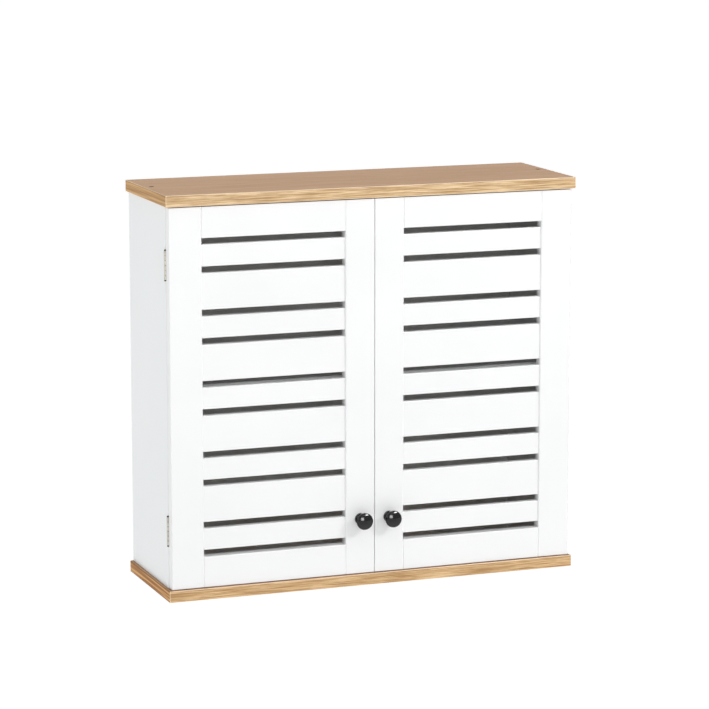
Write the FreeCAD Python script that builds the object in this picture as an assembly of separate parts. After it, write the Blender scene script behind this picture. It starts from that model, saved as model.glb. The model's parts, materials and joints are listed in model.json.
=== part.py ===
import FreeCAD, Part
import math
import os

# Hanging wall cabinet with two louvred doors, in millimetres.
# X runs to the right as seen from the front, Y runs back to the wall and Z runs up.
# X = 0 is the middle of the cabinet and Y = 0 is the wall.
# The cabinet is drawn with Z = 0 at its underside. save() then lowers every piece, so that
# the origin ends up on the wall, midway between the two wall-screw holes.
# Every piece of the left half is drawn once and mirrored for the right half.

os.makedirs("parts", exist_ok=True)
V = FreeCAD.Vector

# Cabinet
WIDTH = 600.0
HEIGHT = 560.0
DEPTH = 190.0
BOARD = 16.0
BOARD_ARRIS = 1.0
BAND = 1.2
PANEL = 15.0
OVERHANG = 4.5
BACK = 3.0
BACK_LAP = 7.0
CLEARANCE = 0.1
TIGHT = 0.05

# Inside
SHELF_BOTTOM = 280.0
SHELF_FRONT = 28.0
SHELF_GAP = 0.4
RAIL_HEIGHT = 60.0
RAIL_ROUND = 1.5
SHELF_ROUND = 1.0
WALL_SCREW_SPACING = 400.0
WALL_SCREW_R = 2.5
WALL_SCREW_Z = HEIGHT - BOARD - RAIL_HEIGHT / 2

# Doors
DOOR = 15.0
DOOR_SETBACK = 3.0
DOOR_GAP = 1.5
MEETING_GAP = 0.7
HINGE_GAP = 2.2
OUTER_STILE = 46.0
INNER_STILE = 42.5
DOOR_RAIL = 42.5
SLOT = 9.0
NARROW_SLAT = 30.0
WIDE_SLAT = 50.0
SLAT = 10.0
SLAT_SETBACK = 2.8
SLAT_ROUND = 1.2
TENON = 5.0
TENON_SHOULDER = 2.5
FRONT_ROUND = 1.5
HINGE_ROUND = 2.5
INNER_ROUND = 1.2
JOINT_BEVEL = 1.0

# Hinges
HINGE_LENGTH = 40.0
HINGE_INSET = 59.0
KNUCKLES = 6
KNUCKLE_GAP = 0.7
KNUCKLE_R = 1.7
PIN_R = 0.9
PIN_CLEARANCE = 0.05
PIN_HEAD_R = 1.5
PIN_HEAD = 1.5
PIN_HEAD_ROUND = 0.4
PIN_FROM_END = 4.2
LEAF = 0.95
LEAF_WIDTH = 13.5
LEAF_START = 2.1
LEAF_CORNER = 1.5
LEAF_SCREW_X = 8.0
LEAF_SCREW_INSET = 8.0

# Fasteners
SMALL_SCREW = {"head_r": 2.4, "shank_r": 1.2, "head": 0.95, "length": 11.0}
BOARD_SCREW = {"head_r": 3.4, "shank_r": 2.0, "head": 2.4, "length": 44.0}
KNOB_SCREW = {"head_r": 4.0, "shank_r": 2.0, "head": 2.0, "length": 27.0}
BOARD_SCREW_DEPTH = 1.2
DOWEL_R = 4.0
DOWEL_LENGTH = 30.0
DOWEL_IN_BOARD = 10.0
DOOR_DOWEL_R = 3.0
DOOR_DOWEL_LENGTH = 30.0
NAIL_R = 0.7
NAIL_HEAD_R = 1.6
NAIL_HEAD = 0.5
NAIL_LENGTH = 18.0
SIDE_NAIL_ZS = (60.0, 200.0, 340.0, 470.0)
BOARD_NAIL_XS = (-220.0, -75.0)
SHELF_PIN_R = 2.5
SHELF_PIN_LENGTH = 16.0
SHELF_PIN_HOLE = 8.0
SHELF_PIN_YS = (-140.0, -30.0)
DOWEL_FROM_EDGE = 35.0
RAIL_DOWEL_DROPS = (15.0, 45.0)
DOOR_DOWEL_SHARES = (0.27, 0.73)

# Knob
KNOB_Z = 95.0
KNOB_FROM_EDGE = 21.0
KNOB_FLANGE_R = 8.2
KNOB_FLANGE = 3.0
KNOB_RIM = 1.1
KNOB_NECK_R = 5.2
KNOB_THROAT = 12.3
KNOB_R = 11.9
KNOB_UNDER = 3.5
KNOB_WIDEST = 17.9
KNOB_SHOULDER = 5.0
KNOB_LENGTH = 24.8

# Magnetic catch
CATCH_WIDTH = 36.0
CATCH_EAR = 9.0
CATCH_HEIGHT = 12.5
CATCH_DEPTH = 14.0
CATCH_EAR_THICK = 2.5
CATCH_GAP = 0.5
CATCH_ROUND = 1.0
CATCH_EAR_ROUND = 3.0
MAGNET_PROUD = 0.3
MAGNET_X = 10.0
MAGNET = (13.0, 7.0, 6.0)
STRIKER = (16.0, 1.0, 9.0)
STRIKER_ROUND = 1.5

# Places worked out from the sizes above
SIDE_X = WIDTH / 2 - OVERHANG
INSIDE_X = SIDE_X - PANEL
TOP_Z = HEIGHT - BOARD
DOOR_FRONT = -DEPTH + DOOR_SETBACK
DOOR_BACK = DOOR_FRONT + DOOR
SIDE_FRONT = DOOR_BACK + HINGE_GAP
DOOR_BOTTOM = BOARD + DOOR_GAP
DOOR_TOP = TOP_Z - DOOR_GAP
DOOR_INNER = MEETING_GAP / 2
OPENING_LEFT = -SIDE_X + OUTER_STILE
OPENING_RIGHT = -DOOR_INNER - INNER_STILE
OPENING_BOTTOM = DOOR_BOTTOM + DOOR_RAIL
OPENING_TOP = DOOR_TOP - DOOR_RAIL
PIN_X = -WIDTH / 2 + PIN_FROM_END
PIN_Y = DOOR_BACK + HINGE_GAP / 2
HINGE_BOTTOMS = {"upper": DOOR_TOP - HINGE_INSET - HINGE_LENGTH, "lower": DOOR_BOTTOM + HINGE_INSET}
KNUCKLE = HINGE_LENGTH / KNUCKLES
SIDE_MIDDLE = -SIDE_X + PANEL / 2
BOARD_SCREW_Y = SIDE_FRONT / 2
DOWEL_YS = (SIDE_FRONT + DOWEL_FROM_EDGE, -DOWEL_FROM_EDGE)
RAIL_MIDDLE_Y = -BACK - PANEL / 2
SHELF_PIN_Z = SHELF_BOTTOM - SHELF_PIN_R - TIGHT
DOOR_MIDDLE_Y = DOOR_FRONT + DOOR / 2
KNOB_X = -DOOR_INNER - KNOB_FROM_EDGE
CATCH_FRONT = DOOR_BACK + STRIKER[1] + CATCH_GAP
STRIKER_Z = TOP_Z - CATCH_HEIGHT / 2

# Directions
RIGHT = V(1, 0, 0)
FRONT = V(0, -1, 0)
BACKWARD = V(0, 1, 0)
UP = V(0, 0, 1)
DOWN = V(0, 0, -1)


# Building blocks

def box(x, y, z):
    """A box from its low and high limit along each direction."""
    return Part.makeBox(x[1] - x[0], y[1] - y[0], z[1] - z[0], V(x[0], y[0], z[0]))


def rod(radius, start, direction, length):
    return Part.makeCylinder(radius, length, start, direction)


def edges_at(shape, x=None, y=None, z=None):
    """The edges that lie wholly at the given coordinates."""
    found = []
    for edge in shape.Edges:
        limits = edge.BoundBox
        spans = ((x, limits.XMin, limits.XMax), (y, limits.YMin, limits.YMax), (z, limits.ZMin, limits.ZMax))
        if all(at is None or max(abs(low - at), abs(high - at)) < 0.01 for at, low, high in spans):
            found.append(edge)
    return found


def mirrored(shape):
    """The same piece on the other half of the cabinet."""
    return shape.mirror(V(0, 0, 0), RIGHT)


def both_halves(shapes):
    return list(shapes) + [mirrored(shape) for shape in shapes]


def stand(shape, at, direction):
    """Turns a shape drawn up the Z axis to a direction and moves its foot to a point."""
    placed = shape.copy()
    placed.Placement = FreeCAD.Placement(at, FreeCAD.Rotation(UP, direction))
    return placed


def save(name, shapes):
    """Writes one node, with the origin moved up to the wall-screw holes."""
    whole = shapes[0] if len(shapes) == 1 else Part.makeCompound(shapes)
    whole = whole.copy()
    whole.translate(V(0, 0, -WALL_SCREW_Z))
    whole.exportStep("parts/" + name + ".step")


# Fasteners, drawn with the top of the head at Z = 0 and the point upwards

def cross_recess(width, depth):
    """The two crossed slots in a screw's head."""
    long = (-width / 2, width / 2)
    short = (-width / 8, width / 8)
    return box(long, short, (-1.0, depth)).fuse(box(short, long, (-1.0, depth)))


def countersunk_screw(size):
    head = Part.makeCone(size["head_r"], size["shank_r"], size["head"])
    tip = 2 * size["shank_r"]
    shank = rod(size["shank_r"], V(0, 0, 0), UP, size["length"] - tip)
    point = Part.makeCone(size["shank_r"], 0.2, tip, V(0, 0, size["length"] - tip), UP)
    screw = head.fuse([shank, point]).removeSplitter()
    return screw.cut(cross_recess(1.1 * size["head_r"], 0.7 * size["head"]))


def countersunk_hole(size, below=0.0):
    """Room for a countersunk screw whose head lies below the surface by the given depth."""
    mouth_r = size["head_r"] + CLEARANCE
    mouth = rod(mouth_r, V(0, 0, -below - 1.0), UP, below + 1.0)
    cone = Part.makeCone(mouth_r, size["shank_r"] + CLEARANCE, size["head"])
    bore = rod(size["shank_r"] + CLEARANCE, V(0, 0, 0), UP, size["length"] + 0.5)
    return mouth.fuse([cone, bore])


def knob_screw_shape():
    """A pan-headed machine screw."""
    head = rod(KNOB_SCREW["head_r"], V(0, 0, 0), UP, KNOB_SCREW["head"])
    head = head.makeFillet(0.8, edges_at(head, z=0.0))
    shank = rod(KNOB_SCREW["shank_r"], V(0, 0, 0), UP, KNOB_SCREW["head"] + KNOB_SCREW["length"])
    return head.fuse(shank).cut(cross_recess(KNOB_SCREW["head_r"], 1.2))


def nail_shape(extra=0.0):
    head = rod(NAIL_HEAD_R + extra, V(0, 0, -extra), UP, NAIL_HEAD + extra)
    return head.fuse(rod(NAIL_R + extra, V(0, 0, 0), UP, NAIL_LENGTH + extra))


def dowel(radius, length, middle, direction, extra=0.0):
    """A dowel about its middle, or with extra the hole that holds it."""
    half = length / 2 + 5 * extra
    start = middle - direction * half
    shape = rod(radius + extra, start, direction, 2 * half)
    if extra:
        return shape
    return shape.makeChamfer(0.8, [edge for edge in shape.Edges if edge.Closed])


# Where the fasteners of the left half go: each entry is a point and a direction

def board_screw_places():
    return [(V(SIDE_MIDDLE, BOARD_SCREW_Y, HEIGHT - BOARD_SCREW_DEPTH), DOWN),
            (V(SIDE_MIDDLE, BOARD_SCREW_Y, BOARD_SCREW_DEPTH), UP)]


def carcass_dowel_places():
    lift = DOWEL_LENGTH / 2 - DOWEL_IN_BOARD
    places = [(V(SIDE_MIDDLE, y, TOP_Z - lift), UP) for y in DOWEL_YS]
    places += [(V(SIDE_MIDDLE, y, BOARD + lift), UP) for y in DOWEL_YS]
    places += [(V(-INSIDE_X + lift, RAIL_MIDDLE_Y, TOP_Z - drop), RIGHT) for drop in RAIL_DOWEL_DROPS]
    return places


def nail_places():
    """Nails through the back: down the side, and along the left half of the two boards."""
    lap = BACK_LAP / 2
    side = [(V(-INSIDE_X - lap, 0, z), FRONT) for z in SIDE_NAIL_ZS]
    boards = [(V(x, 0, z), FRONT) for x in BOARD_NAIL_XS for z in (BOARD - lap, TOP_Z + lap)]
    return side + boards


def leaf_screw_places(direction):
    """Screws of the two left hinges, into the door (FRONT) or into the side panel (BACKWARD)."""
    y = PIN_Y + direction.y * (HINGE_GAP / 2 - LEAF)
    heights = [bottom + up for bottom in HINGE_BOTTOMS.values()
               for up in (LEAF_SCREW_INSET, HINGE_LENGTH - LEAF_SCREW_INSET)]
    return [(V(PIN_X + LEAF_SCREW_X, y, z), direction) for z in heights]


def catch_screw_places():
    x = -(CATCH_WIDTH + CATCH_EAR) / 2
    return [(V(x, CATCH_FRONT + CATCH_DEPTH / 2, TOP_Z - CATCH_EAR_THICK), UP)]


def striker_screw_places():
    return [(V(-MAGNET_X, DOOR_BACK + STRIKER[1], STRIKER_Z), FRONT)]


def door_dowel_places():
    """Two dowels across each joint between a rail and a stile."""
    places = []
    for bottom in (DOOR_BOTTOM, OPENING_TOP):
        for share in DOOR_DOWEL_SHARES:
            for x in (OPENING_LEFT, OPENING_RIGHT):
                places.append((V(x, DOOR_MIDDLE_Y, bottom + share * DOOR_RAIL), RIGHT))
    return places


def small_screws(places):
    return [stand(countersunk_screw(SMALL_SCREW), at, way) for at, way in places]


def small_screw_holes(places):
    return [stand(countersunk_hole(SMALL_SCREW), at, way) for at, way in places]


def board_screw_holes():
    hole = countersunk_hole(BOARD_SCREW, BOARD_SCREW_DEPTH)
    return [stand(hole, at, way) for at, way in board_screw_places()]


def carcass_dowels(extra=0.0):
    return [dowel(DOWEL_R, DOWEL_LENGTH, at, way, extra) for at, way in carcass_dowel_places()]


def door_dowels(extra=0.0):
    return [dowel(DOOR_DOWEL_R, DOOR_DOWEL_LENGTH, at, way, extra) for at, way in door_dowel_places()]


def nails(extra=0.0):
    return [stand(nail_shape(extra), at, way) for at, way in nail_places()]


def shelf_pins(extra=0.0):
    """Round steel pins, half in the side panel and half under the shelf."""
    pins = []
    for y in SHELF_PIN_YS:
        start = V(-INSIDE_X - SHELF_PIN_HOLE - extra, y, SHELF_PIN_Z)
        pin = rod(SHELF_PIN_R + extra, start, RIGHT, SHELF_PIN_LENGTH)
        if not extra:
            pin = pin.makeChamfer(0.6, [edge for edge in pin.Edges if edge.Closed])
        pins.append(pin)
    return pins


def wall_screw_holes():
    half = WALL_SCREW_SPACING / 2
    return [rod(WALL_SCREW_R, V(x, -PANEL - BACK - 1, WALL_SCREW_Z), BACKWARD, PANEL + BACK + 2)
            for x in (-half, half)]


def back_pocket():
    """The rebate round the cabinet's back edges that the back panel lies in."""
    x = INSIDE_X + BACK_LAP
    return box((-x, x), (-BACK - CLEARANCE, 1.0), (BOARD - BACK_LAP, TOP_Z + BACK_LAP))


# Carcass

def board(bottom):
    """Core of the top or bottom board, inside its edge band."""
    x = WIDTH / 2 - BAND
    core = box((-x, x), (-DEPTH + BAND, 0), (bottom, bottom + BOARD))
    holes = both_halves(board_screw_holes() + carcass_dowels(CLEARANCE) + nails(TIGHT))
    holes += both_halves(small_screw_holes(catch_screw_places()))
    return core.cut([back_pocket()] + holes)


def edge_bands(bottom):
    """Strips round the front and the two ends of one board, with their outer edges eased."""
    front_y = (-DEPTH, -DEPTH + BAND)
    end_x = (-WIDTH / 2, -WIDTH / 2 + BAND)
    z = (bottom, bottom + BOARD)
    front = box((-WIDTH / 2, WIDTH / 2), front_y, z)
    eased = [edge for height in z for edge in edges_at(front, y=front_y[0], z=height)]
    eased += [edge for x in (-WIDTH / 2, WIDTH / 2) for edge in edges_at(front, x=x, y=front_y[0])]
    end = box(end_x, (front_y[1], 0), z)
    end = end.makeFillet(BOARD_ARRIS, [edge for height in z for edge in edges_at(end, x=end_x[0], z=height)])
    return [front.makeFillet(BOARD_ARRIS, eased)] + both_halves([end])


def side_panel():
    panel = box((-SIDE_X, -INSIDE_X), (SIDE_FRONT, 0), (BOARD, TOP_Z))
    panel = panel.makeFillet(HINGE_ROUND, edges_at(panel, x=-SIDE_X, y=SIDE_FRONT))
    holes = board_screw_holes() + carcass_dowels(CLEARANCE) + nails(TIGHT) + shelf_pins(CLEARANCE)
    return panel.cut([back_pocket()] + holes + small_screw_holes(leaf_screw_places(BACKWARD)))


def back_panel():
    x = INSIDE_X + BACK_LAP - 2 * CLEARANCE
    z = (BOARD - BACK_LAP + 2 * CLEARANCE, TOP_Z + BACK_LAP - 2 * CLEARANCE)
    return box((-x, x), (-BACK, 0), z).cut(both_halves(nails(TIGHT)) + wall_screw_holes())


def hanging_rail():
    rail = box((-INSIDE_X, INSIDE_X), (-BACK - PANEL, -BACK), (TOP_Z - RAIL_HEIGHT, TOP_Z))
    rail = rail.makeFillet(RAIL_ROUND, edges_at(rail, y=-BACK - PANEL, z=TOP_Z - RAIL_HEIGHT))
    return rail.cut(both_halves(carcass_dowels(CLEARANCE)) + wall_screw_holes())


def shelf():
    x = INSIDE_X - SHELF_GAP
    y = (-DEPTH + SHELF_FRONT, -BACK - SHELF_GAP)
    plank = box((-x, x), y, (SHELF_BOTTOM, SHELF_BOTTOM + PANEL))
    front = [edge for z in (SHELF_BOTTOM, SHELF_BOTTOM + PANEL) for edge in edges_at(plank, y=y[0], z=z)]
    return plank.makeFillet(SHELF_ROUND, front)


# Magnetic catch under the top board

def magnet_pocket(extra=0.0):
    half_x = MAGNET[0] / 2 + extra
    half_z = MAGNET[2] / 2 + extra
    y = (CATCH_FRONT - extra, CATCH_FRONT + MAGNET[1] + extra)
    return box((-MAGNET_X - half_x, -MAGNET_X + half_x), y, (STRIKER_Z - half_z, STRIKER_Z + half_z))


def catch_housing():
    half = CATCH_WIDTH / 2
    y = (CATCH_FRONT + MAGNET_PROUD, CATCH_FRONT + CATCH_DEPTH)
    block = box((-half, half), y, (TOP_Z - CATCH_HEIGHT, TOP_Z))
    block = block.makeFillet(CATCH_ROUND, edges_at(block, z=TOP_Z - CATCH_HEIGHT))
    ears = box((-half - CATCH_EAR, half + CATCH_EAR), y, (TOP_Z - CATCH_EAR_THICK, TOP_Z))
    corners = [edge for x in (-half - CATCH_EAR, half + CATCH_EAR) for at in y
               for edge in edges_at(ears, x=x, y=at)]
    housing = block.fuse(ears.makeFillet(CATCH_EAR_ROUND, corners)).removeSplitter()
    return housing.cut(both_halves([magnet_pocket(TIGHT)] + small_screw_holes(catch_screw_places())))


def catch_magnets():
    return both_halves([magnet_pocket()])


# Hinges, the left ones

def hinge_leaf(bottom, direction, first):
    """One leaf: a screwed plate and every second knuckle, counted from first."""
    inner = direction * (HINGE_GAP / 2 - LEAF)
    outer = direction * HINGE_GAP / 2
    y = sorted((PIN_Y + inner, PIN_Y + outer))
    far_x = PIN_X + LEAF_WIDTH
    leaf = box((PIN_X + LEAF_START, far_x), y, (bottom, bottom + HINGE_LENGTH))
    leaf = leaf.makeFillet(LEAF_CORNER, [edge for z in (bottom, bottom + HINGE_LENGTH)
                                         for edge in edges_at(leaf, x=far_x, z=z)])
    for number in range(first, KNUCKLES, 2):
        low = bottom + number * KNUCKLE + KNUCKLE_GAP / 2
        high = low + KNUCKLE - KNUCKLE_GAP
        barrel = rod(KNUCKLE_R, V(PIN_X, PIN_Y, low), UP, high - low)
        neck = box((PIN_X + PIN_R + PIN_CLEARANCE, PIN_X + LEAF_START + LEAF), y, (low, high))
        leaf = leaf.fuse([barrel, neck])
    bore = rod(PIN_R + PIN_CLEARANCE, V(PIN_X, PIN_Y, bottom - 1), UP, HINGE_LENGTH + 2)
    way = V(0, direction, 0)
    return leaf.removeSplitter().cut([bore] + small_screw_holes(leaf_screw_places(way)))


def hinge_pins():
    """A pin through the knuckles of each left hinge, with a small rounded head at both ends."""
    pins = []
    for bottom in HINGE_BOTTOMS.values():
        top = bottom + HINGE_LENGTH
        shank = rod(PIN_R, V(PIN_X, PIN_Y, bottom - PIN_HEAD / 2), UP, HINGE_LENGTH + PIN_HEAD)
        heads = []
        for low, far in ((bottom - PIN_HEAD, bottom - PIN_HEAD), (top, top + PIN_HEAD)):
            head = rod(PIN_HEAD_R, V(PIN_X, PIN_Y, low), UP, PIN_HEAD)
            heads.append(head.makeFillet(PIN_HEAD_ROUND, edges_at(head, z=far)))
        pins.append(shank.fuse(heads).removeSplitter())
    return pins


# Left door

def slat_heights():
    """Bottom and height of each slat, from the top down: narrow and wide by turns."""
    slats = []
    top = OPENING_TOP - SLOT
    while top > OPENING_BOTTOM + SLOT:
        height = WIDE_SLAT if len(slats) % 2 else NARROW_SLAT
        slats.append((top - height, height))
        top -= height + SLOT
    return slats


def slat_tenon(bottom, height, extra=0.0):
    """The tongues at both ends of a slat, in one bar, or with extra the mortises for them."""
    middle = DOOR_FRONT + SLAT_SETBACK + SLAT / 2
    half = TENON / 2 + extra
    reach = TENON + extra
    return box((OPENING_LEFT - reach, OPENING_RIGHT + reach), (middle - half, middle + half),
               (bottom + TENON_SHOULDER - extra, bottom + height - TENON_SHOULDER + extra))


def slat(bottom, height):
    x = (OPENING_LEFT, OPENING_RIGHT)
    y = (DOOR_FRONT + SLAT_SETBACK, DOOR_FRONT + SLAT_SETBACK + SLAT)
    bar = box(x, y, (bottom, bottom + height))
    long_edges = [edge for at in y for z in (bottom, bottom + height) for edge in edges_at(bar, y=at, z=z)]
    return bar.makeFillet(SLAT_ROUND, long_edges).fuse(slat_tenon(bottom, height)).removeSplitter()


def stile(x, outer_x, front_round, back_round):
    """An upright of the door, rounded along its outer edges and bevelled along the opening."""
    upright = box(x, (DOOR_FRONT, DOOR_BACK), (DOOR_BOTTOM, DOOR_TOP))
    for y, edge_round in ((DOOR_FRONT, front_round), (DOOR_BACK, back_round)):
        upright = upright.makeFillet(edge_round, edges_at(upright, x=outer_x, y=y))
    inner_x = x[0] + x[1] - outer_x
    upright = upright.makeChamfer(JOINT_BEVEL, edges_at(upright, x=inner_x, y=DOOR_FRONT))
    mortises = [slat_tenon(bottom, height, CLEARANCE) for bottom, height in slat_heights()]
    return upright.cut(mortises + door_dowels(CLEARANCE))


def outer_stile():
    blank = stile((-SIDE_X, OPENING_LEFT), -SIDE_X, FRONT_ROUND, HINGE_ROUND)
    return blank.cut(small_screw_holes(leaf_screw_places(FRONT)))


def inner_stile():
    blank = stile((OPENING_RIGHT, -DOOR_INNER), -DOOR_INNER, INNER_ROUND, INNER_ROUND)
    bore = rod(KNOB_SCREW["shank_r"] + CLEARANCE, V(KNOB_X, DOOR_BACK + 1, KNOB_Z), FRONT, DOOR + 2)
    return blank.cut([bore] + small_screw_holes(striker_screw_places()))


def door_rail(bottom, slot_z):
    """A crosspiece of the door, with bevels at its joints and an eased edge along the louvres."""
    x = (OPENING_LEFT, OPENING_RIGHT)
    rail = box(x, (DOOR_FRONT, DOOR_BACK), (bottom, bottom + DOOR_RAIL))
    joints = [edge for at in x for edge in edges_at(rail, x=at, y=DOOR_FRONT)]
    rail = rail.makeChamfer(JOINT_BEVEL, joints)
    rail = rail.makeFillet(INNER_ROUND, edges_at(rail, y=DOOR_FRONT, z=slot_z))
    return rail.cut(door_dowels(CLEARANCE))


def arc(centre, radius, start, end):
    """An arc in the XZ plane from one angle to another, in degrees from the X axis."""
    angles = [math.radians(angle) for angle in (start, (start + end) / 2, end)]
    return Part.Arc(*[centre + V(radius * math.cos(angle), 0, radius * math.sin(angle)) for angle in angles])


def knob():
    """A turned knob: a round flange, a waisted neck and a domed head."""
    rim = arc(V(KNOB_FLANGE_R - KNOB_RIM, 0, KNOB_FLANGE - KNOB_RIM), KNOB_RIM, 0, 90)
    foot = V(KNOB_NECK_R + 1.2, 0, KNOB_FLANGE)
    throat = V(KNOB_NECK_R + 1.6, 0, KNOB_THROAT)
    waist = Part.Arc(foot, V(KNOB_NECK_R, 0, (KNOB_FLANGE + KNOB_THROAT) / 2), throat)
    under = arc(V(KNOB_R - KNOB_UNDER, 0, KNOB_WIDEST), KNOB_UNDER, -65, 0)
    rise = KNOB_LENGTH - KNOB_WIDEST
    inset = KNOB_R - KNOB_SHOULDER
    dome_r = (inset ** 2 + rise ** 2 - KNOB_SHOULDER ** 2) / (2 * (rise - KNOB_SHOULDER))
    turn = math.degrees(math.atan2(dome_r - rise, inset))
    shoulder = arc(V(inset, 0, KNOB_WIDEST), KNOB_SHOULDER, 0, turn)
    dome = arc(V(0, 0, KNOB_LENGTH - dome_r), dome_r, turn, 90)
    outline = [
        Part.LineSegment(V(0, 0, 0), V(KNOB_FLANGE_R, 0, 0)),
        Part.LineSegment(V(KNOB_FLANGE_R, 0, 0), rim.StartPoint),
        rim,
        Part.LineSegment(rim.EndPoint, foot),
        waist,
        Part.LineSegment(throat, under.StartPoint),
        under,
        shoulder,
        dome,
        Part.LineSegment(dome.EndPoint, V(0, 0, 0)),
    ]
    face = Part.Face(Part.Wire([curve.toShape() for curve in outline]))
    body = face.revolve(V(0, 0, 0), UP, 360)
    depth = KNOB_SCREW["length"] - DOOR + CLEARANCE
    body = body.cut(rod(KNOB_SCREW["shank_r"] + CLEARANCE, V(0, 0, -1), UP, depth + 1))
    return stand(body, V(KNOB_X, DOOR_FRONT, KNOB_Z), FRONT)


def knob_screw():
    return stand(knob_screw_shape(), V(KNOB_X, DOOR_BACK + KNOB_SCREW["head"], KNOB_Z), FRONT)


def striker_plate():
    half_x = STRIKER[0] / 2
    half_z = STRIKER[2] / 2
    plate = box((-MAGNET_X - half_x, -MAGNET_X + half_x), (DOOR_BACK, DOOR_BACK + STRIKER[1]),
                (STRIKER_Z - half_z, STRIKER_Z + half_z))
    corners = [edge for x in (-MAGNET_X - half_x, -MAGNET_X + half_x)
               for z in (STRIKER_Z - half_z, STRIKER_Z + half_z) for edge in edges_at(plate, x=x, z=z)]
    return plate.makeFillet(STRIKER_ROUND, corners).cut(small_screw_holes(striker_screw_places()))


def door_pieces():
    """Every piece of the left door: the end of its node's name, and its solids."""
    pieces = {
        "outer_stile": [outer_stile()],
        "inner_stile": [inner_stile()],
        "top_rail": [door_rail(OPENING_TOP, OPENING_TOP)],
        "bottom_rail": [door_rail(DOOR_BOTTOM, OPENING_BOTTOM)],
        "door_dowels": door_dowels(),
        "knob": [knob()],
        "knob_screw": [knob_screw()],
        "striker_plate": [striker_plate()],
        "door_screws": small_screws(leaf_screw_places(FRONT) + striker_screw_places()),
    }
    for number, (bottom, height) in enumerate(slat_heights(), start=1):
        pieces["slat_" + str(number)] = [slat(bottom, height)]
    for level, bottom in HINGE_BOTTOMS.items():
        pieces[level + "_door_leaf"] = [hinge_leaf(bottom, -1, 1)]
    return pieces


def cabinet_pieces():
    """Every piece of the cabinet's body, apart from the side panels and hinge leaves."""
    board_screw = countersunk_screw(BOARD_SCREW)
    return {
        "top_board": [board(TOP_Z)],
        "bottom_board": [board(0.0)],
        "edge_bands": edge_bands(TOP_Z) + edge_bands(0.0),
        "back_panel": [back_panel()],
        "hanging_rail": [hanging_rail()],
        "shelf": [shelf()],
        "shelf_pins": both_halves(shelf_pins()),
        "carcass_dowels": both_halves(carcass_dowels()),
        "board_screws": both_halves([stand(board_screw, at, way) for at, way in board_screw_places()]),
        "back_nails": both_halves(nails()),
        "catch_housing": [catch_housing()],
        "catch_magnets": catch_magnets(),
        "hinge_pins": both_halves(hinge_pins()),
        "cabinet_screws": both_halves(small_screws(leaf_screw_places(BACKWARD) + catch_screw_places())),
    }


def side_pieces():
    """The left side panel and the hinge leaves on it."""
    pieces = {"side_panel": [side_panel()]}
    for level, bottom in HINGE_BOTTOMS.items():
        pieces[level + "_frame_leaf"] = [hinge_leaf(bottom, 1, 0)]
    return pieces


for node, solids in cabinet_pieces().items():
    save(node, solids)

for node, solids in {**side_pieces(), **door_pieces()}.items():
    save("left_" + node, solids)
    save("right_" + node, [mirrored(solid) for solid in solids])
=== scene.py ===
import json
import math
from collections import namedtuple

import bpy
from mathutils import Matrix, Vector


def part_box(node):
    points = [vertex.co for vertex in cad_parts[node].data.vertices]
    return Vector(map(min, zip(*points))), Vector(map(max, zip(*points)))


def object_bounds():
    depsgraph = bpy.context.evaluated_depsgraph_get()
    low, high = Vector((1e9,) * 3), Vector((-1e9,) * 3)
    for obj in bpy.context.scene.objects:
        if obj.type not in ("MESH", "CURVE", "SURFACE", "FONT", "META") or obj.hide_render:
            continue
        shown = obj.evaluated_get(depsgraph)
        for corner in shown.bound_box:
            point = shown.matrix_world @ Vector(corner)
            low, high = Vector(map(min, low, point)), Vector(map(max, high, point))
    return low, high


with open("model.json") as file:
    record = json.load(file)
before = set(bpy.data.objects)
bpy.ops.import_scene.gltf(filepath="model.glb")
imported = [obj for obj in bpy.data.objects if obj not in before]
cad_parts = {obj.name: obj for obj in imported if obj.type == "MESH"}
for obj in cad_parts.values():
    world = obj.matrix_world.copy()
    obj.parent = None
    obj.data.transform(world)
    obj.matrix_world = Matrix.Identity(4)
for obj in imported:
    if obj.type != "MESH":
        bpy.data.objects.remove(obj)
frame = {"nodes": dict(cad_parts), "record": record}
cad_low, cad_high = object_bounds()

# Looks of the hanging wall cabinet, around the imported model. Everything is in metres:
# X to the right as seen from the front, Y back to the wall, Z up.

Pattern = namedtuple(
    "Pattern",
    "scale detail roughness distortion offset",
    defaults=(3.0, 0.5, 0.0, (0.0, 0.0, 0.0)),
)
Layer = namedtuple("Layer", "pattern span share colour")
Lamp = namedtuple("Lamp", "at aim size power adds")


def even(scale):
    """The same scale along all three axes."""
    return (scale, scale, scale)


# Camera: where it stands, how far it turns from +Y towards +X, and how far it looks down
CAMERA_AT = (-1.502, -4.124, 0.567)
CAMERA_TURN = math.radians(20.5)
CAMERA_DOWN = math.radians(10.16)
CAMERA_LENS = 157.4
SENSOR = 36.0
CLIP_END = 200.0

# Floor and sky
FLOOR_BELOW = 2.5
FLOOR_SIZE = 200.0
FLOOR_WHITE = (0.9, 0.9, 0.9, 1)
FLOOR_ROUGHNESS = 0.9
GLOW_WHITE = (1, 1, 1, 1)
FLOOR_GLOW = 0.56
SKY = (0.99, 1.0, 1.01)
SKY_STRENGTH = 0.5

# Lamps: place, point aimed at, width and height, watts, and what each one adds to
MIDDLE = (0, -0.1, -0.2)
UPPER_PART = (0, -0.1, -0.1)
KNOB_LEVEL = (0, -0.2, -0.42)
LAMPS = {
    "key": Lamp((1.66, -2.58, 1.36), MIDDLE, (0.9, 0.6), 34.0, "diffuse"),
    "key_gloss": Lamp((1.35, -1.05, 1.75), KNOB_LEVEL, (1.7, 0.8), 170.0, "gloss"),
    "top": Lamp((-0.3, -1.9, 2.9), UPPER_PART, (3.0, 2.0), 18.0, "both"),
    "front": Lamp((-1.1, -4.3, 0.95), MIDDLE, (1.4, 1.4), 21.0, "both"),
    "front_gloss": Lamp((-1.1, -4.2, 0.95), MIDDLE, (1.9, 1.9), 120.0, "gloss"),
    "left": Lamp((-3.0, -0.1, 0.5), MIDDLE, (1.5, 1.5), 12.0, "both"),
}

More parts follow.
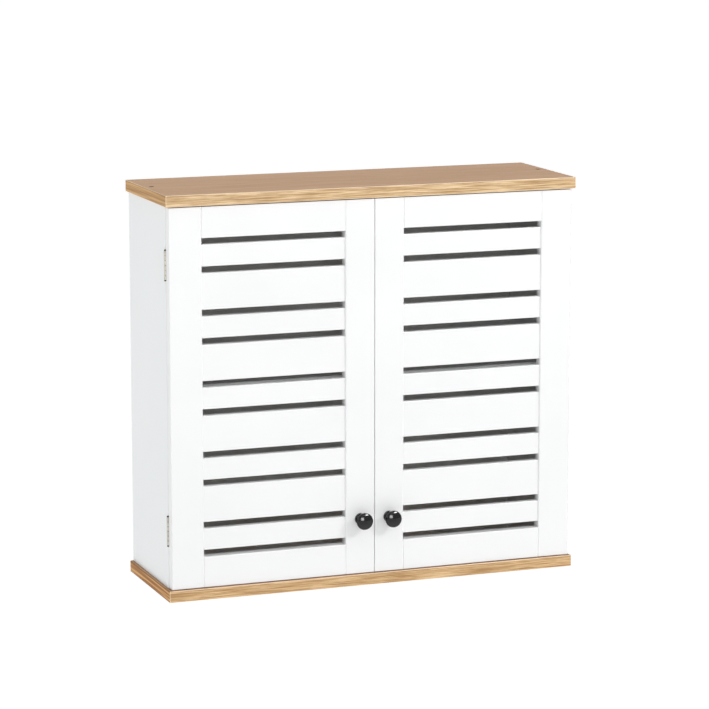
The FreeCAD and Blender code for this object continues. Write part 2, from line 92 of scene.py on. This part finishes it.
# Colours, as linear red, green and blue
LACQUER_TONES = ((0.82, 0.822, 0.82), (0.84, 0.841, 0.838))
FILM_TONES = ((0.822, 0.838, 0.84), (0.842, 0.857, 0.858))
BACK_TONES = ((0.76, 0.765, 0.755), (0.80, 0.80, 0.795))
OAK_LIGHT = (0.69, 0.43, 0.25)
OAK_MIDDLE = (0.62, 0.37, 0.205)
OAK_DARK = (0.40, 0.215, 0.11)
OAK_PORE = (0.27, 0.13, 0.06)
OAK_CORE = (0.11, 0.055, 0.028)
RAW_EDGE = (0.43, 0.30, 0.18)
# The pale eased-edge colour is partly the band's exposed edge and partly a painted highlight
BAND_PALE_EDGE_AND_HIGHLIGHT = (0.92, 0.75, 0.54)
BAND_LIGHT = (0.76, 0.56, 0.335)
BAND_MIDDLE = (0.57, 0.38, 0.195)
BAND_DARK = (0.34, 0.19, 0.078)
# Painted shade: the bottom board's band is tinted darker and warmer, for the weaker light from below
LOW_BOARD_SHADE_TINT = (0.96, 0.90, 0.82)
# Painted shade: the ends of the bands are tinted darker than the front, more so on the bottom board
TOP_END_SHADE_TINT = (0.88, 0.75, 0.57)
LOW_END_SHADE_TINT = (0.93, 0.71, 0.46)
HINGE_ZINC = (0.57, 0.545, 0.48)
SCREW_ZINC = (0.50, 0.495, 0.48)
# Painted shade: the hinge pins are near black so that their ends show as the shaded holes at the knuckles
PIN_SHADE_TONES = ((0.005, 0.005, 0.005), (0.015, 0.014, 0.013))
DARK_SCREW_TONES = ((0.035, 0.02, 0.013), (0.075, 0.045, 0.028))
KNOB_BLACK = (0.004, 0.004, 0.0042, 1)
PLASTIC_WHITE = (0.78, 0.78, 0.76, 1)
FERRITE_TONES = ((0.03, 0.03, 0.032), (0.08, 0.08, 0.082))
BEECH_TONES = ((0.66, 0.46, 0.28), (0.50, 0.32, 0.17))

# Noise patterns: how tight they are along X, Y and Z, per metre, then the noise's own settings
PEEL = Pattern(even(700.0), detail=2.0)
LACQUER_CLOUD = Pattern(even(9.0))
FILM_GRAIN = Pattern(even(1400.0), detail=2.0)
FILM_CLOUD = Pattern(even(6.0))
OAK_WAVE = Pattern((3.0, 9.0, 9.0), detail=2.0)
OAK_BANDS = Pattern((1.4, 26.0, 26.0), detail=4.0, distortion=0.5)
OAK_LINES = Pattern((9.0, 420.0, 420.0), detail=5.0, roughness=0.65)
OAK_PORES = Pattern((60.0, 1700.0, 1700.0), detail=2.0)
BAND_BROAD = Pattern((9.0, 5.0, 240.0), distortion=0.3)
BAND_STREAKS = Pattern((15.0, 6.0, 640.0), detail=4.0, roughness=0.6, distortion=0.1)
BAND_LINES = Pattern((34.0, 12.0, 1000.0), offset=(3.0, 1.0, 7.0))
END_LINES = Pattern((6.0, 5.0, 300.0), detail=1.0)
ZINC_CLOUD = Pattern(even(160.0), detail=4.0)
BRUSHING = Pattern((4000.0, 4000.0, 250.0), detail=2.0)
RIPPLE = Pattern(even(260.0), detail=2.0)
HANDLING_MARKS = Pattern((900.0, 2600.0, 900.0), detail=4.0)
FIBRE = Pattern(even(500.0), detail=5.0)
BACK_CLOUD = Pattern(even(12.0))
PLATING_CLOUD = Pattern(even(700.0))
PLASTIC_GRAIN = Pattern(even(1800.0), detail=2.0)
FERRITE_GRAIN = Pattern(even(2500.0))
BEECH_LINES = Pattern((500.0, 500.0, 60.0), detail=4.0)

# Ranges of a noise over which a value follows it
MOST = (0.3, 0.7)
PATCHES = (0.35, 0.7)
MARKED = (0.45, 0.75)
END_STREAKS = (0.43, 0.55)

# Layers of colour: a pattern, the range of it over which the colour comes in, and its largest share
OAK_LAYERS = (
    Layer(OAK_BANDS, (0.32, 0.68), 1.0, OAK_MIDDLE),
    Layer(OAK_LINES, (0.45, 0.78), 0.6, OAK_DARK),
    Layer(OAK_PORES, (0.60, 0.72), 0.55, OAK_PORE),
)
BAND_LAYERS = (
    Layer(BAND_STREAKS, (0.44, 0.52), 1.0, BAND_MIDDLE),
    Layer(BAND_STREAKS, (0.54, 0.61), 0.7, BAND_DARK),
    Layer(BAND_BROAD, (0.52, 0.70), 0.22, BAND_DARK),
    Layer(BAND_LINES, (0.50, 0.60), 0.5, BAND_DARK),
)

# Oak boards: how far the grain wanders, which faces are upright by their normal, where the raw back
# edge begins, and the painted shade that darkens the bottom board outside the side panels
GRAIN_WANDER = 0.012
UPRIGHT_FACE = (0.9, 0.5)
BACK_EDGE_FADE = 0.0005
OVERHANG_SHADE_FADE = 0.001
OVERHANG_SHADE_SHARE = 0.75

# Edge bands: which faces are ends and which edges are turned, by parts of their normal, the share
# of the streaks on the top and on the bottom board's ends, and the dark rims of the latter, which are
# painted shade
END_FACE = (0.5, 0.9)
TURNED_EDGE = (0.2, 0.35)
END_STREAK_SHARES = (0.35, 0.85)
SHADE_RIM = 0.0012
SHADE_RIM_FADE = 0.001
SHADE_RIM_SHARE = 0.8
EASED_EDGE = (0.97, 0.85)
EASED_EDGE_SHARE = 0.9
BAND_GLOSS = (0.25, 0.06)

# Knob: the range over which it turns away from the eye, and its gloss at both ends of it
KNOB_SLANT = (0.2, 0.8)
KNOB_GLOSS = (0.42, 0.08)

# Share of the zinc's colour left in its darker patches, and how far its roughness varies
ZINC_DARKER = 0.75
ZINC_SMOOTHER = 0.07
ZINC_ROUGHER = 0.1


class Finish:
    """One procedural material, built node by node around its shader."""

    def __init__(self, name, **values):
        self.material = bpy.data.materials.new(name)
        self.material.use_nodes = True
        self.nodes = self.material.node_tree.nodes
        self.shader = self.nodes["Principled BSDF"]
        for socket, value in values.items():
            self.shader.inputs[socket.replace("_", " ")].default_value = value
        self.place = self.add("ShaderNodeTexCoord")
        self.vector = self.place.outputs["Object"]
        self.noises = {}

    def add(self, kind, settings=None, **inputs):
        """A node. An input that is a socket is linked, and any other is set."""
        node = self.nodes.new(kind)
        for name, value in (settings or {}).items():
            setattr(node, name, value)
        for name, value in inputs.items():
            self.feed(node.inputs[name.replace("_", " ")], value)
        return node

    def feed(self, socket, value):
        """Links the socket to value if that is a socket too, and otherwise sets it."""
        if isinstance(value, bpy.types.NodeSocket):
            self.material.node_tree.links.new(value, socket)
        elif isinstance(value, tuple) and socket.type == "RGBA":
            socket.default_value = (*value, 1)
        else:
            socket.default_value = value

    def shader_input(self, name, value):
        self.feed(self.shader.inputs[name], value)

    def noise(self, pattern):
        """The value of a pattern, over the vector in use when it is first asked for."""
        if pattern not in self.noises:
            mapping = self.add(
                "ShaderNodeMapping",
                Vector=self.vector,
                Scale=pattern.scale,
                Location=pattern.offset,
            )
            node = self.add(
                "ShaderNodeTexNoise",
                Vector=mapping.outputs["Vector"],
                Scale=1.0,
                Detail=pattern.detail,
                Roughness=pattern.roughness,
                Distortion=pattern.distortion,
            )
            self.noises[pattern] = node.outputs["Fac"]
        return self.noises[pattern]

    def maths(self, operation, first, second=0.0):
        """One operation on two numbers, or on the first alone."""
        node = self.add("ShaderNodeMath", {"operation": operation})
        self.feed(node.inputs[0], first)
        self.feed(node.inputs[1], second)
        return node.outputs["Value"]

    def product(self, first, second):
        return self.maths("MULTIPLY", first, second)

    def between(self, value, span, to=(0.0, 1.0)):
        """value moved from one range into another, and held within it."""
        low, high = span
        to_low, to_high = to
        node = self.add(
            "ShaderNodeMapRange",
            Value=value,
            From_Min=low,
            From_Max=high,
            To_Min=to_low,
            To_Max=to_high,
        )
        return node.outputs["Result"]

    def blend(self, share, first, second, blend_type="MIX"):
        """The first colour, with the second over it by that share."""
        node = self.add("ShaderNodeMix", {"data_type": "RGBA", "blend_type": blend_type})
        self.feed(node.inputs["Factor"], share)
        self.feed(node.inputs[6], first)
        self.feed(node.inputs[7], second)
        return node.outputs[2]

    def tinted(self, share, tone, tint):
        """tone, multiplied by tint by that share."""
        return self.blend(share, tone, self.blend(1.0, tone, tint, "MULTIPLY"))

    def layered(self, tone, layers):
        """tone, with each layer's colour over it where its pattern is high."""
        for layer in layers:
            share = self.between(self.noise(layer.pattern), layer.span, (0.0, layer.share))
            tone = self.blend(share, tone, layer.colour)
        return tone

    def colour(self, value):
        self.shader_input("Base Color", value)

    def clouded(self, pattern, tones):
        """Colour that goes between two tones over a pattern."""
        self.colour(self.blend(self.between(self.noise(pattern), MOST), *tones))

    def roughness(self, pattern, lowest, highest, span=MOST):
        """Roughness that follows a pattern."""
        self.shader_input("Roughness", self.between(self.noise(pattern), span, (lowest, highest)))

    def relief(self, pattern, depth, strength=1.0):
        """Small relief that follows a pattern, depth metres high at most."""
        node = self.add("ShaderNodeBump", Height=self.noise(pattern), Strength=strength, Distance=depth)
        self.shader_input("Normal", node.outputs["Normal"])

    def part_of(self, output, axis):
        """One axis of the piece's own place (Object) or of its normal."""
        return self.add("ShaderNodeSeparateXYZ", Vector=self.place.outputs[output]).outputs[axis]

    def facing(self, axis):
        """1 where the surface faces along an axis, either way, and 0 where it is square to that."""
        return self.maths("ABSOLUTE", self.part_of("Normal", axis))

    def eased_edge(self):
        """1 where the surface turns between two of the piece's own directions, as on a rounded edge."""
        first, second, third = [self.facing(axis) for axis in "XYZ"]
        largest = self.maths("MAXIMUM", self.maths("MAXIMUM", first, second), third)
        return self.between(largest, EASED_EDGE)

    def low_board(self):
        """1 on the lower half of the cabinet, where the only oak is the bottom board."""
        return self.maths("LESS_THAN", self.part_of("Object", "Z"), (cad_low.z + cad_high.z) / 2)


# Materials

def lacquer():
    """White satin lacquer: a faint orange peel, and a slight unevenness of tone and gloss."""
    finish = Finish("white_lacquer", Specular_IOR_Level=0.35)
    finish.clouded(LACQUER_CLOUD, LACQUER_TONES)
    finish.roughness(LACQUER_CLOUD, lowest=0.32, highest=0.42)
    finish.relief(PEEL, depth=0.00002)
    return finish.material


def melamine():
    """White melamine film, a little cooler than the doors, with a very fine pressed texture."""
    finish = Finish("white_melamine_film")
    finish.clouded(FILM_CLOUD, FILM_TONES)
    finish.roughness(FILM_GRAIN, lowest=0.38, highest=0.5)
    finish.relief(FILM_GRAIN, depth=0.000015)
    return finish.material


def oak_film():
    """Oak print on the boards, along X. The walls of holes show the dark core, the back edge is raw,
    and the bottom board is darker outside the side panels, which is painted shade."""
    finish = Finish("oak_film", Specular_IOR_Level=0.3)
    wander = finish.between(finish.noise(OAK_WAVE), (0.0, 1.0), (-GRAIN_WANDER, GRAIN_WANDER))
    bent = finish.add("ShaderNodeVectorMath", {"operation": "ADD"})
    finish.feed(bent.inputs[0], finish.vector)
    finish.feed(bent.inputs[1], finish.add("ShaderNodeCombineXYZ", Y=wander).outputs["Vector"])
    finish.vector = bent.outputs["Vector"]
    tone = finish.layered(OAK_LIGHT, OAK_LAYERS)

    side_panel_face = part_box("right_side_panel")[1].x
    # Painted shade: the bottom board is darkened outside the side panels, standing in for the shade there
    off_centre = finish.maths("ABSOLUTE", finish.part_of("Object", "X"))
    overhang_shade = finish.between(off_centre, (side_panel_face - OVERHANG_SHADE_FADE, side_panel_face))
    overhang_shade = finish.product(finish.low_board(), overhang_shade)
    tone = finish.blend(finish.product(overhang_shade, OVERHANG_SHADE_SHARE), tone, OAK_PORE)
    upright_face = finish.between(finish.facing("Z"), UPRIGHT_FACE)
    at_back = finish.between(finish.part_of("Object", "Y"), (cad_high.y - BACK_EDGE_FADE, cad_high.y))
    core = finish.blend(at_back, OAK_CORE, RAW_EDGE)
    finish.colour(finish.blend(upright_face, tone, core))
    finish.roughness(OAK_LINES, lowest=0.42, highest=0.56)
    finish.relief(OAK_PORES, depth=0.00003, strength=0.4)
    return finish.material


def oak_band():
    """Lighter oak print on the edge bands, streaked along them, with pale eased edges, partly the band's
    exposed edge and partly painted highlight. The ends are darker than the front, as painted shade, and
    duller; the bottom board's band is darker still, with dark rims and eased edges on its ends, all painted
    shade."""
    finish = Finish("oak_edge_band")
    low = finish.low_board()
    end = finish.between(finish.facing("X"), END_FACE)
    tone = finish.layered(BAND_LIGHT, BAND_LAYERS)
    # Painted shade: the bottom board's band tinted darker and warmer
    tone = finish.tinted(low, tone, LOW_BOARD_SHADE_TINT)

    end_streaks = finish.blend(finish.between(finish.noise(END_LINES), END_STREAKS), BAND_LIGHT, BAND_DARK)
    streak_share = finish.between(low, (0.0, 1.0), END_STREAK_SHARES)
    tone = finish.blend(finish.product(end, streak_share), tone, end_streaks)

    # Painted shade: dark rims along the top and bottom edges of the bottom board's ends
    board_low, board_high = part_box("bottom_board")
    half = (board_high.z - board_low.z) / 2
    above_middle = finish.maths("SUBTRACT", finish.part_of("Object", "Z"), (board_low.z + board_high.z) / 2)
    rim_shade = finish.between(finish.maths("ABSOLUTE", above_middle), (half - SHADE_RIM - SHADE_RIM_FADE, half - SHADE_RIM))
    rim_shade = finish.product(finish.product(rim_shade, low), end)
    tone = finish.blend(finish.product(rim_shade, SHADE_RIM_SHARE), tone, OAK_PORE)
    # Painted shade: the ends tinted darker than the front, more so on the bottom board
    tone = finish.tinted(end, tone, finish.blend(low, TOP_END_SHADE_TINT, LOW_END_SHADE_TINT))

    # Eased edges: pale, partly the band's exposed edge and partly painted highlight; dark on the bottom
    # board's ends, which is painted shade
    edge_sideways = finish.between(finish.facing("X"), TURNED_EDGE)
    edge_upright = finish.between(finish.facing("Z"), TURNED_EDGE)
    low_end_edge_shade = finish.product(finish.product(edge_sideways, edge_upright), low)
    edge_highlight_and_shade = finish.blend(low_end_edge_shade, BAND_PALE_EDGE_AND_HIGHLIGHT, BAND_DARK)
    tone = finish.blend(finish.product(finish.eased_edge(), EASED_EDGE_SHARE), tone, edge_highlight_and_shade)
    finish.colour(tone)
    finish.shader_input("Specular IOR Level", finish.between(end, (0.0, 1.0), BAND_GLOSS))
    finish.roughness(BAND_STREAKS, lowest=0.38, highest=0.52)
    finish.relief(BAND_LINES, depth=0.00003, strength=0.4)
    return finish.material


def zinc(name, colour, roughness):
    """Plated steel: a dull warm grey with fine brushing and cloudy patches."""
    finish = Finish(name, Metallic=1.0)
    darker = tuple(ZINC_DARKER * part for part in colour)
    finish.colour(finish.blend(finish.between(finish.noise(ZINC_CLOUD), PATCHES), colour, darker))
    finish.roughness(ZINC_CLOUD, lowest=roughness - ZINC_SMOOTHER, highest=roughness + ZINC_ROUGHER)
    finish.relief(BRUSHING, depth=0.00001, strength=0.5)
    return finish.material


def gloss_black():
    """Glossy black moulding, with a slight ripple and faint handling marks."""
    finish = Finish("gloss_black", Base_Color=KNOB_BLACK)
    slant = finish.add("ShaderNodeLayerWeight", Blend=0.5).outputs["Facing"]
    finish.shader_input("Specular IOR Level", finish.between(slant, KNOB_SLANT, KNOB_GLOSS))
    finish.roughness(HANDLING_MARKS, lowest=0.12, highest=0.2, span=MARKED)
    finish.relief(RIPPLE, depth=0.00002, strength=0.5)
    return finish.material


def back_film():
    """White film on thin fibre board."""
    finish = Finish("back_board_film")
    finish.clouded(BACK_CLOUD, BACK_TONES)
    finish.roughness(FIBRE, lowest=0.5, highest=0.65)
    finish.relief(FIBRE, depth=0.00004, strength=0.5)
    return finish.material


def dark_plating(name, tones):
    """Dark dull plating, cloudy between two tones."""
    finish = Finish(name, Specular_IOR_Level=0.12)
    finish.colour(finish.blend(finish.noise(PLATING_CLOUD), *tones))
    finish.roughness(PLATING_CLOUD, lowest=0.6, highest=0.8)
    return finish.material


def moulded_white():
    """White plastic with a fine grain."""
    finish = Finish("moulded_white_plastic", Base_Color=PLASTIC_WHITE)
    finish.roughness(PLASTIC_GRAIN, lowest=0.3, highest=0.42)
    finish.relief(PLASTIC_GRAIN, depth=0.00001, strength=0.5)
    return finish.material


def ferrite():
    """The grainy dark grey of a ceramic magnet."""
    finish = Finish("ferrite", Metallic=0.3, Roughness=0.6)
    finish.colour(finish.blend(finish.noise(FERRITE_GRAIN), *FERRITE_TONES))
    finish.relief(FERRITE_GRAIN, depth=0.00002, strength=0.6)
    return finish.material


def beech():
    """Plain beech with lines along Z."""
    finish = Finish("beech", Roughness=0.6)
    finish.colour(finish.blend(finish.noise(BEECH_LINES), *BEECH_TONES))
    finish.relief(BEECH_LINES, depth=0.00004, strength=0.5)
    return finish.material


def dress_nodes():
    """Gives every node the material of its slot in the record."""
    finishes = {
        "oak_board": oak_film(),
        "oak_edge": oak_band(),
        "door_paint": lacquer(),
        "white_melamine": melamine(),
        "back_board": back_film(),
        "hinge_plate": zinc("dull_zinc", HINGE_ZINC, roughness=0.42),
        "plated_steel": zinc("bright_zinc", SCREW_ZINC, roughness=0.3),
        # Painted shade: near-black pins standing in for the shaded holes at the knuckle ends
        "pin_steel": dark_plating("near_black_pin_shade", PIN_SHADE_TONES),
        "dark_screw": dark_plating("brown_plating", DARK_SCREW_TONES),
        "black_knob": gloss_black(),
        "catch_plastic": moulded_white(),
        "magnet": ferrite(),
        "beech": beech(),
    }
    for part in frame["record"]["subparts"]:
        data = frame["nodes"][part["node"]].data
        for index in range(len(data.materials)):
            data.materials[index] = finishes[part["material_slot"]]


# Stage, light and camera

def pale_floor():
    """A large pale floor well below the hung cabinet."""
    bpy.ops.mesh.primitive_plane_add(size=FLOOR_SIZE, location=(0, 0, cad_low.z - FLOOR_BELOW))
    floor = bpy.context.object
    floor.name = "floor"
    finish = Finish(
        "pale_floor",
        Base_Color=FLOOR_WHITE,
        Roughness=FLOOR_ROUGHNESS,
        Emission_Color=GLOW_WHITE,
        Emission_Strength=FLOOR_GLOW,
    )
    floor.data.materials.append(finish.material)


def sky():
    """Even light from all round, nearly white."""
    world = bpy.data.worlds.new("studio")
    world.use_nodes = True
    background = world.node_tree.nodes["Background"]
    background.inputs["Color"].default_value = (*SKY, 1)
    background.inputs["Strength"].default_value = SKY_STRENGTH
    bpy.context.scene.world = world


def softbox(name, lamp):
    """A rectangular lamp. It adds to the diffuse light, to the gloss or to both."""
    light = bpy.data.lights.new(name, "AREA")
    light.shape = "RECTANGLE"
    light.size, light.size_y = lamp.size
    light.energy = lamp.power
    holder = bpy.data.objects.new(name, light)
    holder.location = lamp.at
    holder.rotation_mode = "QUATERNION"
    holder.rotation_quaternion = (Vector(lamp.aim) - Vector(lamp.at)).to_track_quat("-Z", "Y")
    holder.visible_camera = False
    holder.visible_diffuse = lamp.adds != "gloss"
    holder.visible_glossy = lamp.adds != "diffuse"
    bpy.context.scene.collection.objects.link(holder)


def camera():
    """The camera at the photo's angle."""
    lens = bpy.data.cameras.new("camera")
    lens.sensor_width = SENSOR
    lens.lens = CAMERA_LENS
    lens.clip_end = CLIP_END
    holder = bpy.data.objects.new("camera", lens)
    holder.location = CAMERA_AT
    holder.rotation_euler = (math.pi / 2 - CAMERA_DOWN, 0, -CAMERA_TURN)
    bpy.context.scene.collection.objects.link(holder)
    bpy.context.scene.camera = holder


bpy.context.scene.view_settings.view_transform = "Standard"
dress_nodes()
pale_floor()
sky()
for lamp_name, lamp_values in LAMPS.items():
    softbox(lamp_name, lamp_values)
camera()
